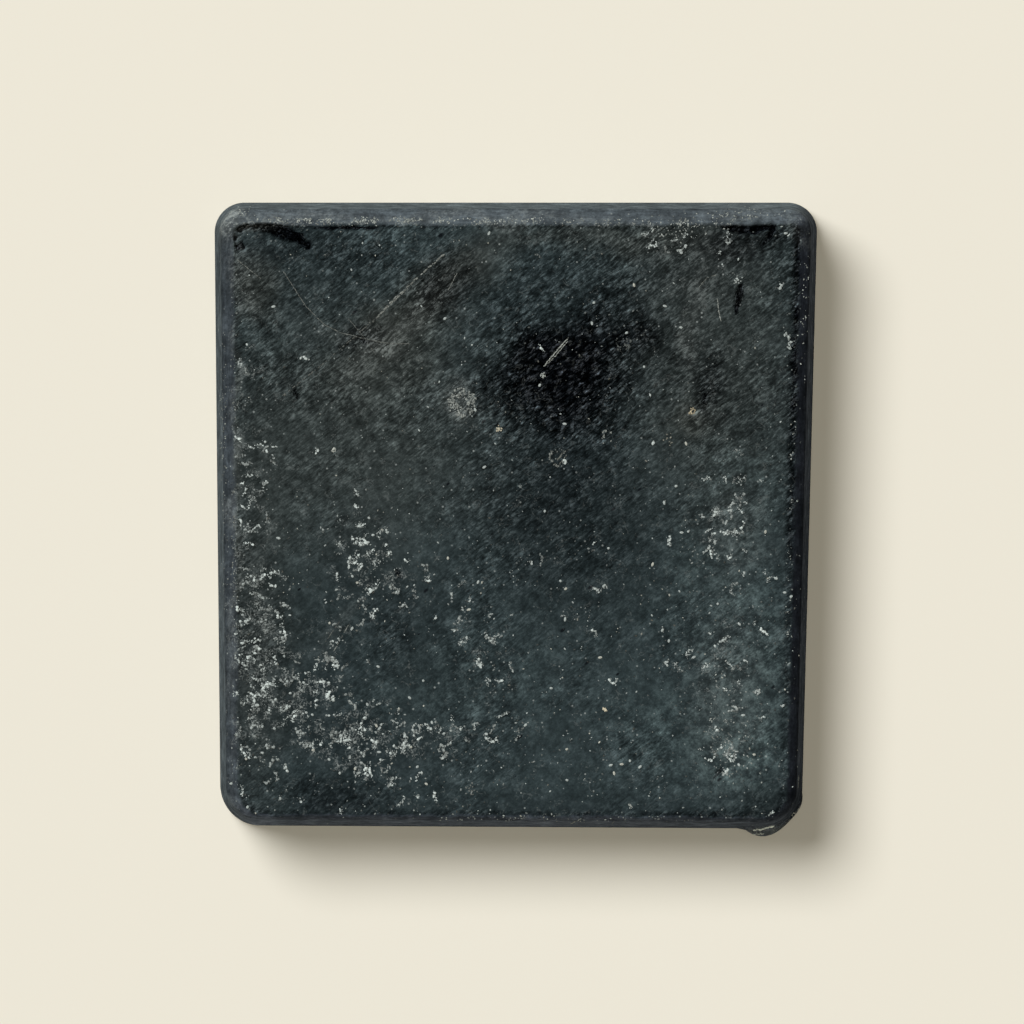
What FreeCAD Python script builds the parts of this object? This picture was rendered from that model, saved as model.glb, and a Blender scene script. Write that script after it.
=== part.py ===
"""Compressed-charcoal drawing block: one pressed, solid tablet.

Frame: +Z up, the block lies on its base at z = 0. +X runs to the right along its far edge and +Y
from the near edge to the far edge. The origin is the middle of the base of its bounding box.
All sizes are in millimetres and angles in degrees.
"""
import FreeCAD, Part
import math
import os

import Sketcher

SIZES = {
    # outline on the base
    "block_width": 48.0,         # X, at the wide, far edge
    "overall_length": 50.4,      # Y, far edge to the outside of the corner flash
    "left_lean": 0.5,            # how far the left side has come in by the near edge
    "right_lean": 1.3,           # the same on the right side
    "corner_radius": 2.4,
    "worn_corner_radius": 3.2,   # near left corner, rubbed rounder than the others
    # section through an edge
    "block_height": 10.0,
    "wall_draft": 3.5,           # angle of the mould's draft, so the base is the widest level
    "bevel_inset": 1.05,         # flat rim bevel, measured in from the top of the wall
    "bevel_drop": 0.9,           # the same bevel, measured down from the drawing face
    "rim_rounding": 0.3,
    "base_rounding": 0.4,
    # flash squeezed out at the near right corner
    "flash_reach": 0.6,          # how far it stands out past the near edge
    "flash_side_reach": 0.1,     # how far it stands out past the right side
    "flash_radius": 3.2,
    "flash_height": 4.5,
    "flash_draft": 8.0,
}
SHEET_NAME = "sizes"
LEVEL_TOLERANCE = 1e-4


def make_sheet(doc):
    """Keep every driving dimension in one sheet, one row each: name, value."""
    sheet = doc.addObject("Spreadsheet::Sheet", SHEET_NAME)
    for row, (name, value) in enumerate(SIZES.items(), start=1):
        sheet.set(f"A{row}", name)
        sheet.set(f"B{row}", str(value))
        sheet.setAlias(f"B{row}", name)
    doc.recompute()
    return sheet


def base_plane(body):
    """The body's own XY plane."""
    return next(item for item in body.Origin.OriginFeatures if item.Role == "XY_Plane")


def new_sketch(body, name):
    """An empty sketch on the body's base plane."""
    sketch = body.newObject("Sketcher::SketchObject", name)
    sketch.AttachmentSupport = [(base_plane(body), "")]
    sketch.MapMode = "FlatFace"
    return sketch


def bind(feature, path, formula):
    """Tie one property or sketch constraint to the sheet; $name stands for the cell of that name."""
    feature.setExpression(path, formula.replace("$", f"{SHEET_NAME}."))


def drive(sketch, name, constraint, formula):
    """Add a sketch dimension called name whose value follows the formula."""
    index = sketch.addConstraint(constraint)
    sketch.renameConstraint(index, name)
    bind(sketch, f"Constraints.{name}", formula)


def draw_outline(sketch):
    """Four sides joined by corner arcs; the left and right sides lean in towards the near edge."""
    half_width = SIZES["block_width"] / 2
    half_length = SIZES["overall_length"] / 2
    radius = SIZES["corner_radius"]
    corners = {
        "near_right": FreeCAD.Vector(half_width - radius, radius - half_length, 0),
        "far_right": FreeCAD.Vector(half_width - radius, half_length - radius, 0),
        "far_left": FreeCAD.Vector(radius - half_width, half_length - radius, 0),
        "near_left": FreeCAD.Vector(radius - half_width, radius - half_length, 0),
    }
    quarter_turn = math.radians(90)
    arcs = {}
    for number, (name, centre) in enumerate(corners.items()):
        start = (number - 1) * quarter_turn
        circle = Part.Circle(centre, FreeCAD.Vector(0, 0, 1), radius)
        arcs[name] = sketch.addGeometry(Part.ArcOfCircle(circle, start, start + quarter_turn), False)

    # Each side runs from the end of one arc to the start of the next, anticlockwise.
    names = list(corners)
    sides = {}
    for name, following in zip(names, names[1:] + names[:1]):
        start = sketch.getPoint(arcs[name], 2)
        end = sketch.getPoint(arcs[following], 1)
        side = sketch.addGeometry(Part.LineSegment(start, end), False)
        sketch.addConstraint(Sketcher.Constraint("Tangent", arcs[name], 2, side, 1))
        sketch.addConstraint(Sketcher.Constraint("Tangent", side, 2, arcs[following], 1))
        sides[name] = side
    far_edge = sides["far_right"]
    near_edge = sides["near_left"]
    sketch.addConstraint(Sketcher.Constraint("Horizontal", far_edge))
    sketch.addConstraint(Sketcher.Constraint("Horizontal", near_edge))

    for name in ("far_right", "far_left", "near_right"):
        round_size = Sketcher.Constraint("Radius", arcs[name], radius)
        drive(sketch, f"{name}_radius", round_size, "$corner_radius")
    worn_size = Sketcher.Constraint("Radius", arcs["near_left"], SIZES["worn_corner_radius"])
    drive(sketch, "near_left_radius", worn_size, "$worn_corner_radius")

    def centre_right_of_origin(name, formula):
        distance = Sketcher.Constraint("DistanceX", -1, 1, arcs[name], 3, corners[name].x)
        drive(sketch, f"{name}_x", distance, formula)

    def centre_left_of_origin(name, formula):
        distance = Sketcher.Constraint("DistanceX", arcs[name], 3, -1, 1, -corners[name].x)
        drive(sketch, f"{name}_x", distance, formula)

    centre_right_of_origin("far_right", "$block_width / 2 - $corner_radius")
    centre_right_of_origin("near_right", "$block_width / 2 - $right_lean - $corner_radius")
    centre_left_of_origin("far_left", "$block_width / 2 - $corner_radius")
    centre_left_of_origin("near_left", "$block_width / 2 - $left_lean - $worn_corner_radius")

    far_distance = Sketcher.Constraint("DistanceY", -1, 1, far_edge, 1, half_length)
    drive(sketch, "far_edge_y", far_distance, "$overall_length / 2")
    near_distance = Sketcher.Constraint("DistanceY", near_edge, 1, -1, 1, half_length)
    drive(sketch, "near_edge_y", near_distance, "$overall_length / 2 - $flash_reach")


def edges_at(shape, level):
    """Names of the edges that lie in the horizontal plane at this height."""
    names = []
    for number, edge in enumerate(shape.Edges, start=1):
        heights = [edge.valueAt(parameter).z for parameter in edge.ParameterRange]
        middle = edge.valueAt(sum(edge.ParameterRange) / 2).z
        if all(abs(height - level) < LEVEL_TOLERANCE for height in heights + [middle]):
            names.append(f"Edge{number}")
    return names


def add_pressed_block(doc, body):
    """The tablet as it leaves the mould: drafted walls with a broad, plain bevel round the top."""
    outline = new_sketch(body, "base_outline")
    draw_outline(outline)
    block = body.newObject("PartDesign::Pad", "pressed_block")
    block.Profile = outline
    bind(block, "Length", "$block_height")
    bind(block, "TaperAngle", "-$wall_draft")
    doc.recompute()

    bevel = body.newObject("PartDesign::Chamfer", "rim_bevel")
    bevel.Base = (block, edges_at(block.Shape, SIZES["block_height"]))
    bevel.ChamferType = "Two distances"
    bind(bevel, "Size", "$bevel_drop")
    bind(bevel, "Size2", "$bevel_inset")
    doc.recompute()
    return bevel


def add_rounding(doc, body, bevelled):
    """Rub the arris between bevel and drawing face, and the edge that the block rests on."""
    rim = body.newObject("PartDesign::Fillet", "rim_rounding")
    rim.Base = (bevelled, edges_at(bevelled.Shape, SIZES["block_height"]))
    bind(rim, "Radius", "$rim_rounding")
    doc.recompute()

    foot = body.newObject("PartDesign::Fillet", "base_rounding")
    foot.Base = (rim, edges_at(rim.Shape, 0.0))
    bind(foot, "Radius", "$base_rounding")
    doc.recompute()


def add_corner_flash(doc, body):
    """The squeezed-out lip at the near right corner: a low disc, most of it inside the block."""
    plan = new_sketch(body, "flash_plan")
    radius = SIZES["flash_radius"]
    start = FreeCAD.Vector(SIZES["block_width"] / 2 - radius, radius - SIZES["overall_length"] / 2, 0)
    disc = plan.addGeometry(Part.Circle(start, FreeCAD.Vector(0, 0, 1), radius), False)
    drive(plan, "flash_size", Sketcher.Constraint("Radius", disc, radius), "$flash_radius")
    across = Sketcher.Constraint("DistanceX", -1, 1, disc, 3, start.x)
    drive(plan, "flash_x", across, "$block_width / 2 - $right_lean + $flash_side_reach - $flash_radius")
    along = Sketcher.Constraint("DistanceY", disc, 3, -1, 1, -start.y)
    drive(plan, "flash_y", along, "$overall_length / 2 - $flash_radius")

    flash = body.newObject("PartDesign::Pad", "corner_flash")
    flash.Profile = plan
    bind(flash, "Length", "$flash_height")
    bind(flash, "TaperAngle", "-$flash_draft")
    doc.recompute()


def make_charcoal_block(doc):
    """The whole tablet, one solid."""
    body = doc.addObject("PartDesign::Body", "charcoal_block")
    body.Label = "charcoal_block"
    body.Placement = FreeCAD.Placement()
    bevelled = add_pressed_block(doc, body)
    add_rounding(doc, body, bevelled)
    add_corner_flash(doc, body)
    return body


def check(doc, parts):
    """Stop before writing anything if a feature failed or a part has no sound single solid."""
    doc.recompute()
    for item in doc.Objects:
        if {"Invalid", "Error"} & set(item.State):
            raise RuntimeError(f"{item.Name} failed: {item.State}")
    for part in parts:
        if part.Shape.isNull() or not part.Shape.isValid():
            raise RuntimeError(f"{part.Label} has no valid shape")
        if len(part.Shape.Solids) != 1:
            raise RuntimeError(f"{part.Label} has {len(part.Shape.Solids)} solids")


doc = FreeCAD.newDocument("charcoal_drawing_block")
make_sheet(doc)
parts = [make_charcoal_block(doc)]
check(doc, parts)
os.makedirs("parts", exist_ok=True)
for part in parts:
    part.Shape.exportStep(f"parts/{part.Label}.step")
    print(part.Label, "volume", round(part.Shape.Volume, 2), "mm3")
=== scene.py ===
import bmesh
import bpy
import math
import random
from mathutils import Matrix, Vector, noise
from mathutils.bvhtree import BVHTree


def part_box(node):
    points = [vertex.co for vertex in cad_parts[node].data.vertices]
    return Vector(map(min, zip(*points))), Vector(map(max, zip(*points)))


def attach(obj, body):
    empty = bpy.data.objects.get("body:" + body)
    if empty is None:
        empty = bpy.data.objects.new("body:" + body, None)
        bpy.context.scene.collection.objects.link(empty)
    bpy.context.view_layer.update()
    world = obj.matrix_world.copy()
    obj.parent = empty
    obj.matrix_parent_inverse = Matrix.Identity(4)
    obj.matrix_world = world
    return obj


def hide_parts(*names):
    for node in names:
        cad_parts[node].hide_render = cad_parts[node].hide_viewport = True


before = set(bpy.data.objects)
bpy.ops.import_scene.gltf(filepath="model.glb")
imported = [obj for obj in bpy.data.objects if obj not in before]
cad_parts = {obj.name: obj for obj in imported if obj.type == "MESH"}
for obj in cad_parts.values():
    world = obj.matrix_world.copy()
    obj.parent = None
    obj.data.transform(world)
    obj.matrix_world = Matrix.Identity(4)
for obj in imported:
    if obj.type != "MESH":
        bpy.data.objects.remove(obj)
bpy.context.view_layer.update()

# ---------------------------------------------------------------------------------------------
# Camera: a long lens straight above the tablet, so that its walls hardly lean, with the far
# edge of the tablet at the top of the frame.
# ---------------------------------------------------------------------------------------------
MM = 0.001
VIEW_WIDTH = 81.2 * MM
VIEW_CENTRE = Vector((-0.32, 0.59, 0.0)) * MM
LENS_TO_SENSOR = 28.0

camera_data = bpy.data.cameras.new("camera")
camera_data.sensor_width = 36.0
camera_data.lens = camera_data.sensor_width * LENS_TO_SENSOR
camera_data.clip_end = 20.0
camera = bpy.data.objects.new("camera", camera_data)
camera.location = VIEW_CENTRE + Vector((0, 0, VIEW_WIDTH * LENS_TO_SENSOR))
bpy.context.scene.collection.objects.link(camera)
bpy.context.scene.camera = camera

# ---------------------------------------------------------------------------------------------
# The tablet: charcoal powder and binder pressed in a steel mould. It is made from one cube that
# is cut into a grid and moved to the mould's section, with a lip of flash at the near right
# corner, and then worn with pits, dips and gouges.
# ---------------------------------------------------------------------------------------------
low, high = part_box("charcoal_block")
FLASH_REACH = 0.6
SKIN = 0.04                 # everything stays this far inside the CAD solid's box
HALF_WIDE = (high.x - low.x) / 2 / MM - SKIN
FAR = high.y / MM - SKIN
NEAR_CLEARANCE = 0.2        # the near wall stands this far inside the flash's own reach
NEAR = low.y / MM + FLASH_REACH + NEAR_CLEARANCE
HALF_LONG = (FAR - NEAR) / 2
MID_Y = (FAR + NEAR) / 2
TOP_CLEARANCE = 0.16        # leaves room above the face for grains of dust
TOP = high.z / MM - TOP_CLEARANCE
LEFT_LEAN = 0.5
RIGHT_LEAN = 1.3
CORNER_RADIUS = 2.4
WORN_CORNER_RADIUS = 3.2
WALL_FLARE = 0.6
BASE_ROUNDING = 0.4
BEVEL_DROP = 0.95
BEVEL_WIDTHS = {"left": 0.95, "right": 0.75, "near": 0.34, "far": 1.25}
FINE_BORDER = 2.4           # rings of the grid lie closer together this near to the rim
FINE_SHARE = 0.2
FLASH_CENTRE = Vector((19.55, -21.95))
FLASH_RADIUS = 3.18
FLASH_HEIGHT = 4.3
NEAR_SLANT = 0.14           # the near wall runs this much further out at its right end
FLASH_TAPER_START = 0.55    # share of its height at which the flash starts to draw in
FLASH_TAPER = 0.9
FLASH_LAYER_DEPTH = 0.05
FLASH_LAYERS = 7.0
FLASH_FLATTENING = 0.3      # the flash bulges less on the diagonal of the corner
STRAIGHT_BEVEL = 0.62
ROUNDED_BEVEL = 0.38
ARRIS_SOFTNESS = 0.02


def plan_noise(place, layer, scale):
    """Smooth noise from -1 to 1 over the plan; each layer is a different pattern."""
    return noise.noise(Vector((place.x, place.y, layer)) * scale)


def ring_position(share, half):
    """Distance from the middle for a grid line at this share of the way out; denser at the rim."""
    from_rim = 1 - abs(share)
    if from_rim < FINE_SHARE:
        inset = from_rim / FINE_SHARE * FINE_BORDER
    else:
        inset = FINE_BORDER + (from_rim - FINE_SHARE) / (1 - FINE_SHARE) * (half - FINE_BORDER)
    return math.copysign(half - inset, share)


def plan_point(u, v, flare):
    """Plan position, outward direction and inset of a grid point, at a level that much inside the foot."""
    half_wide = HALF_WIDE - flare
    half_long = HALF_LONG - flare
    x = ring_position(u, half_wide)
    y = ring_position(v, half_long)
    inset = min(half_wide - abs(x), half_long - abs(y))
    if half_wide - abs(x) < half_long - abs(y):
        outward = Vector((math.copysign(1, x), 0))
    else:
        outward = Vector((0, math.copysign(1, y)))
    radius = (WORN_CORNER_RADIUS if y < 0 else CORNER_RADIUS) - flare
    across = abs(x) - (half_wide - radius)
    along = abs(y) - (half_long - radius)
    if across > 0 and along > 0:
        reach = max(across, along)
        turn = math.pi / 4 * (along / across if across >= along else 2 - across / along)
        outward = Vector((math.copysign(math.cos(turn), x), math.copysign(math.sin(turn), y)))
        x = math.copysign(half_wide - radius, x) + outward.x * reach
        y = math.copysign(half_long - radius, y) + outward.y * reach
    lean = LEFT_LEAN if x < 0 else -RIGHT_LEAN
    x += lean * abs(x) / HALF_WIDE * (HALF_LONG - y) / (2 * HALF_LONG)
    y -= NEAR_SLANT * x / HALF_WIDE * (HALF_LONG - y) / (2 * HALF_LONG)
    return Vector((x, y + MID_Y)), outward, inset


def for_side(outward, by_side):
    """A value given for each side, blended round the corners."""
    value = max(-outward.x, 0) ** 2 * by_side["left"] + max(outward.x, 0) ** 2 * by_side["right"]
    return value + max(-outward.y, 0) ** 2 * by_side["near"] + max(outward.y, 0) ** 2 * by_side["far"]


def bevel_width(outward, place):
    """Width of the rim bevel here: the mould's width on that side, worn a little unevenly."""
    slow = 0.1 * plan_noise(place, 3, 0.5)
    quick = 0.1 * plan_noise(place, 6, 1.7)
    return for_side(outward, BEVEL_WIDTHS) + slow + quick


def wall_level(share):
    """Height and inset from the foot outline for a point this share of the way up the wall."""
    rounding_share = 0.12
    shoulder = TOP - BEVEL_DROP
    if share < rounding_share:
        turn = share / rounding_share * math.pi / 2
        return BASE_ROUNDING * (1 - math.cos(turn)), BASE_ROUNDING * (1 - math.sin(turn))
    climb = (share - rounding_share) / (1 - rounding_share)
    return BASE_ROUNDING + climb * (shoulder - BASE_ROUNDING), climb * WALL_FLARE


def with_flash(place, height):
    """Push a wall point out onto the low, layered disc of flash at the near right corner."""
    taper = max(0.0, height - FLASH_HEIGHT * FLASH_TAPER_START) * FLASH_TAPER
    layers = FLASH_LAYER_DEPTH * math.sin(height * FLASH_LAYERS + place.x)
    offset = place - FLASH_CENTRE
    diagonal = math.sin(2 * math.atan2(offset.y, offset.x)) ** 2
    radius = FLASH_RADIUS - taper + layers - FLASH_LAYER_DEPTH - FLASH_FLATTENING * diagonal
    if height < FLASH_HEIGHT and 0 < offset.length < radius:
        return FLASH_CENTRE + offset.normalized() * radius
    return place


STROKE_DEGREES = 38          # the face has been rubbed this way, from near left to far right

# Gouges in the drawing face: (points along it, half width, depth), all in millimetres.
GOUGES = [
    ([(-21.8, 22.9), (-21.0, 23.25), (-19.6, 23.2), (-18.4, 22.7), (-17.2, 22.2), (-16.4, 21.5)],
     0.36, 0.75),
    ([(-22.25, 22.5), (-22.15, 22.1)], 0.22, 0.4),
    ([(-22.1, 21.7), (-21.5, 21.4)], 0.28, 0.45),
    ([(-16.0, 23.0), (-13.6, 23.05), (-11.0, 23.0)], 0.12, 0.25),
    ([(16.4, 23.1), (17.6, 22.9), (18.8, 22.85), (20.3, 23.15)], 0.3, 0.5),
    ([(20.4, 23.1), (20.1, 22.4), (19.5, 21.7)], 0.2, 0.5),
    ([(17.75, 18.5), (17.6, 17.6), (17.35, 16.4)], 0.2, 0.5),
    ([(-12.4, 14.4), (-11.7, 13.9)], 0.26, 0.25),
    ([(14.9, 9.9), (14.7, 8.6)], 0.16, 0.2),
    ([(-17.6, 10.3), (-17.2, 9.6)], 0.16, 0.2),
    ([(-9.6, -4.0), (-9.0, -4.5)], 0.18, 0.2),
    ([(16.3, -19.6), (15.6, -20.4)], 0.18, 0.2),
]
# Broad shallow dips: (middle, half sizes, depth).
HOLLOWS = [
    ((-19.0, 21.0), (3.2, 2.2), 0.16),
    ((3.5, 11.5), (6.5, 5.5), 0.10),
    ((-4.3, 9.25), (0.8, 0.8), 0.12),
    ((20.5, 22.0), (2.0, 1.4), 0.12),
    ((3.0, -3.0), (9.0, 7.0), 0.06),
]


def nearest_on_path(place, points):
    """Distance in plan to a path of straight runs, and how far along it that is, from 0 to 1."""
    best, share = 1e9, 0.0
    for number, (start, end) in enumerate(zip(points, points[1:])):
        start = Vector(start)
        run = Vector(end) - start
        along = min(max((place - start).dot(run) / run.length_squared, 0), 1)
        away = (place - start - run * along).length
        if away < best:
            best, share = away, (number + along) / (len(points) - 1)
    return best, share


def gouge_depth(place):
    """How deep the gouges cut here; each is ragged and narrows towards its ends."""
    depth = 0.0
    for points, half_width, full_depth in GOUGES:
        if (place - Vector(points[0])).length > 9:
            continue
        away, share = nearest_on_path(place, points)
        ragged = half_width * (0.45 + 0.55 * math.sin(math.pi * min(max(share, 0.02), 0.98)))
        ragged *= 1 + 0.8 * plan_noise(place, 5, 2.6)
        depth = max(depth, full_depth * math.exp(-(away / max(ragged, 0.05)) ** 2))
    return depth


def hollow_depth(place):
    """How deep the broad dips are here."""
    depth = 0.0
    for middle, half_sizes, full_depth in HOLLOWS:
        across = (place.x - middle[0]) / half_sizes[0]
        along = (place.y - middle[1]) / half_sizes[1]
        depth += full_depth * math.exp(-(across * across + along * along))
    return depth


def by_strokes(place):
    """The place measured along and across the strokes that have rubbed the face."""
    turn = math.radians(STROKE_DEGREES)
    along = place.x * math.cos(turn) + place.y * math.sin(turn)
    across = place.y * math.cos(turn) - place.x * math.sin(turn)
    return along, across


def streaks(place, width, length, seed):
    """Noise drawn out along the strokes."""
    along, across = by_strokes(place)
    return noise.noise(Vector((along / length, across / width, seed)))


def flake_gaps(place):
    """How deep the gaps between loose flakes are here, from 0 to 1; flakes lie along the strokes."""
    along, across = by_strokes(place)
    near, far = noise.voronoi(Vector((along, across / 0.6, 4)))[0][:2]
    return min(max(1 - (far - near) / 0.3, 0), 1)


def coarseness(place):
    """How coarse the worn face is here, from 0 to 1: rough towards the far side, smooth in the middle."""
    slow = plan_noise(place, 51, 0.16) + 0.6 * plan_noise(place, 52, 0.45)
    farther = min(max((place.y + 2) / 12, 0), 1)
    return min(max(0.2 + 0.5 * farther + 0.5 * slow, 0), 1)


def face_relief(place, from_rim, soot_and_shade):
    """Height of the worn drawing face above its nominal plane, in millimetres; never above it."""
    inside = min(max(from_rim / 0.25, 0), 1)
    grain = 0.035 * streaks(place, 0.45, 1.0, 1) + 0.03 * plan_noise(place, 8, 2.2)
    grain *= 0.25 + 0.5 * coarseness(place) + 0.5 * soot_and_shade
    broad = 0.04 * plan_noise(place, 2, 0.14)
    pits = max(0.0, plan_noise(place, 11, 1.25) - 0.42) * 0.5
    gaps = (0.005 + 0.12 * soot_and_shade) * flake_gaps(place)
    sunk = 0.08 + hollow_depth(place) + pits + gaps
    return inside * (grain + broad - sunk) - gouge_depth(place)


# Soft-edged patches, each (middle, half sizes, turn in degrees, strength), in millimetres.
# Soot is black, loose charcoal; crumbs are where pale dust has curdled; the dark tone and shade patches
# darken the colour: darker tone on the face, and painted shade along the near and right edges and at the
# near right corner.
SOOT = [
    ((3.7, 12.3), (5.2, 3.2), 30, 1.0),
    ((4.4, 9.4), (3.8, 2.8), 10, 0.8),
    ((3.8, 4.6), (4.4, 3.0), 60, 0.2),
    ((3.7, 12.2), (2.4, 1.5), 30, 1.0),
    ((9.2, 14.2), (1.6, 1.2), 0, 0.6),
    ((0.6, 12.6), (1.4, 0.9), 60, 0.6),
    ((1.0, 17.5), (5.0, 2.2), 40, 0.25),
    ((7.6, 16.5), (3.0, 2.6), 0, 0.25),
    ((3.0, 1.5), (5.5, 6.5), 80, 0.22),
    ((15.3, 11.2), (0.9, 2.2), 0, 0.45),
    ((-15.2, 21.6), (4.4, 1.5), -12, 0.25),
    ((-12.4, 14.2), (1.5, 0.9), 40, 0.5),
    ((-5.6, 18.4), (2.6, 1.8), 38, 0.45),
    ((18.2, 21.9), (3.0, 1.2), 5, 0.5),
    ((-14.0, -21.6), (3.6, 1.5), 5, 0.35),
    ((-9.4, -8.4), (1.8, 2.6), 20, 0.2),
    ((12.6, -9.2), (2.0, 3.0), 0, 0.15),
]
CRUMBS = [
    ((-20.6, -9.4), (2.2, 8.6), 0, 1.0),
    ((-16.6, -14.4), (2.4, 4.0), 20, 0.85),
    ((-20.9, 5.0), (1.4, 5.0), 0, 0.6),
    ((-21.6, 11.0), (0.8, 3.0), 0, 0.5),
    ((-12.6, -3.6), (2.4, 3.4), 10, 0.75),
    ((-8.4, -5.0), (2.2, 1.6), 0, 0.45),
    ((-12.6, -17.6), (3.4, 2.6), 0, 0.95),
    ((-14.8, -13.0), (1.6, 2.2), 0, 0.5),
    ((-6.6, -18.0), (4.6, 1.5), 4, 0.8),
    ((-1.4, -13.6), (1.4, 4.2), 20, 0.42),
    ((-4.2, -8.0), (1.6, 2.6), 15, 0.3),
    ((-14.0, -21.6), (7.5, 1.3), 0, 0.14),
    ((-21.0, -17.5), (1.5, 2.5), 0, 0.5),
    ((-21.0, -9.5), (1.6, 4.5), 0, 0.45),
    ((-18.6, -14.6), (1.6, 2.6), 0, 0.5),
    ((16.6, -0.8), (2.4, 3.6), -20, 0.58),
    ((16.4, -12.4), (2.6, 4.6), 10, 0.48),
    ((17.0, -17.8), (2.2, 1.8), 0, 0.4),
    ((20.6, -10.0), (1.4, 5.0), 0, 0.25),
    ((12.6, 21.9), (2.8, 1.1), 0, 0.42),
    ((16.8, 17.6), (1.2, 2.2), 0, 0.3),
    ((3.0, 4.0), (3.0, 0.8), 20, 0.2),
    ((0.2, -5.6), (7.0, 5.0), 0, 0.12),
]
DARK_TONE_AND_SHADE = [
    ((4.8, -2.8), (6.0, 6.0), 0, 0.42),
    ((3.4, 3.0), (6.0, 3.4), 0, 0.2),
    ((-7.4, -11.2), (4.6, 5.2), 10, 0.32),
    ((-18.4, 19.6), (5.2, 3.4), -10, 0.3),
    ((14.4, 20.4), (4.6, 2.6), 0, 0.4),
    ((12.4, 13.2), (2.4, 3.0), 0, 0.4),
    ((17.8, 9.0), (2.0, 3.4), 0, 0.3),
    ((16.0, 12.0), (6.0, 9.0), 0, 0.14),
    ((-15.0, -9.0), (2.6, 4.4), 0, 0.3),
    # The patches along the near edge, at the near right corner and down the right edge are painted shade;
    # the others are darker tone.
    ((0.0, -23.2), (24.0, 1.5), 0, 0.28),
    ((14.5, -24.3), (5.0, 1.0), 0, 0.25),
    ((21.2, -23.2), (2.8, 2.2), 0, 0.7),
    ((-14.8, -21.8), (3.4, 1.8), 0, 0.35),
    ((13.8, -3.0), (1.4, 5.0), 0, 0.08),
    ((21.8, -6.0), (1.2, 14.0), 0, 0.3),
]
# Haze is a film of pale dust; ochre is where the face has weathered to a warmer grey.
HAZE = [
    ((18.4, -12.5), (2.8, 8.0), 5, 0.6),
    ((13.0, -16.5), (5.0, 4.0), 0, 0.3),
    ((17.0, -18.2), (2.4, 2.6), 0, 0.95),
    ((18.0, 1.5), (3.0, 5.0), 0, 0.25),
    ((-3.5, -13.5), (6.0, 4.0), 0, 0.2),
    ((13.6, -6.0), (1.8, 6.0), 0, 0.25),
]
OCHRE = [
    ((-7.4, 17.0), (1.8, 7.5), -52, 0.9),
    ((9.0, 22.2), (9.0, 1.2), 0, 0.7),
    ((-20.6, 18.6), (2.0, 2.4), 20, 0.8),
    ((-9.5, 13.0), (2.6, 4.5), -50, 0.6),
    ((13.9, 8.3), (1.3, 1.4), 0, 1.0),
    ((-20.6, -8.0), (3.0, 13.0), 0, 0.45),
    ((15.5, 12.0), (6.5, 11.0), 0, 0.6),
    ((-13.0, 7.0), (10.0, 9.0), 0, 0.6),
]


def patch_strength(place, patches, seed):
    """How strongly a set of soft patches covers this place; a slow noise makes their edges uneven."""
    shift = noise.noise_vector(Vector((place.x * 0.35, place.y * 0.35, seed)))
    wandered = place + Vector((shift.x, shift.y)) * 1.1
    bare = 1.0
    for middle, half_sizes, turn, strength in patches:
        away = wandered - Vector(middle)
        angle = math.radians(turn)
        along = (away.x * math.cos(angle) + away.y * math.sin(angle)) / half_sizes[0]
        across = (away.y * math.cos(angle) - away.x * math.sin(angle)) / half_sizes[1]
        bare *= 1 - strength * math.exp(-(along * along + across * across) ** 1.5 / 1.6)
    return 1 - bare


# How pale the bevel and the walls are on each side, from 0 to 1, and where powder has settled.
RIM_PALENESS = {"left": 0.25, "right": 0.08, "near": 0.64, "far": 0.46}
WALL_PALENESS = {"left": 0.58, "right": 0.36, "near": 0.92, "far": 0.84}
FLASH_PALENESS = 0.55
POWDER = [
    ((-23.0, 24.1), (1.5, 1.1), 45, 1.0),
    ((-21.0, 23.9), (1.2, 0.5), 10, 0.5),
    ((-19.0, 24.2), (5.0, 0.7), 0, 0.16),
    ((-8.0, 23.75), (16.0, 0.3), 0, 0.3),
    ((18.5, 24.3), (2.6, 0.8), 0, 0.2),
    ((22.8, 23.4), (0.8, 1.8), 20, 0.24),
    ((-22.9, -23.9), (1.0, 1.6), -45, 0.25),
    ((-22.2, 3.0), (0.35, 17.0), 0, 0.3),
    ((-21.4, 18.4), (1.1, 2.6), 15, 0.2),
    ((-8.8, 15.4), (4.6, 0.9), 42, 0.18),
    ((-12.0, 14.2), (3.4, 0.6), -20, 0.16),
    ((-4.3, 9.3), (1.1, 1.1), 0, 0.5),
    ((14.8, 19.6), (4.5, 2.0), 0, 0.1),
    ((14.0, 15.4), (0.6, 3.5), -8, 0.22),
    ((19.9, -24.6), (1.5, 0.4), 0, 0.9),
    ((-14.2, -9.0), (0.7, 2.2), -35, 0.16),
    ((-20.8, -10.0), (1.6, 9.0), 0, 0.06),
    ((17.4, -1.5), (2.0, 3.0), 0, 0.14),
    ((17.0, -13.5), (2.6, 6.0), 0, 0.16),
]

# The arris, where the bevel meets the face: how much dust it holds, and the dark line just inside it and
# that line's width;
# the line is soot and painted shade, strongest on the right side, away from the lamp.
ARRIS_DUST = {"left": 0.9, "right": 0.2, "near": 0.4, "far": 1.0}
ARRIS_SOOT_AND_SHADE = {"left": 0.12, "right": 1.0, "near": 0.4, "far": 0.3}
ARRIS_SOOT_AND_SHADE_WIDTHS = {"left": 0.3, "right": 0.42, "near": 0.3, "far": 0.2}
ARRIS_DUST_WIDTH = 0.18

EDGE = 1 - 1e-6             # share of the way out at which a point of the cube counts as on its edge
COARSE_CELLS = 64
WALL_CELLS = 5
FINE_CUTS = 3

grid = bmesh.new()
bmesh.ops.create_cube(grid, size=2.0)


def is_upright(edge):
    """Whether an edge of the cube runs up its wall."""
    return abs(edge.verts[0].co.z - edge.verts[1].co.z) > 1e-6


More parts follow.
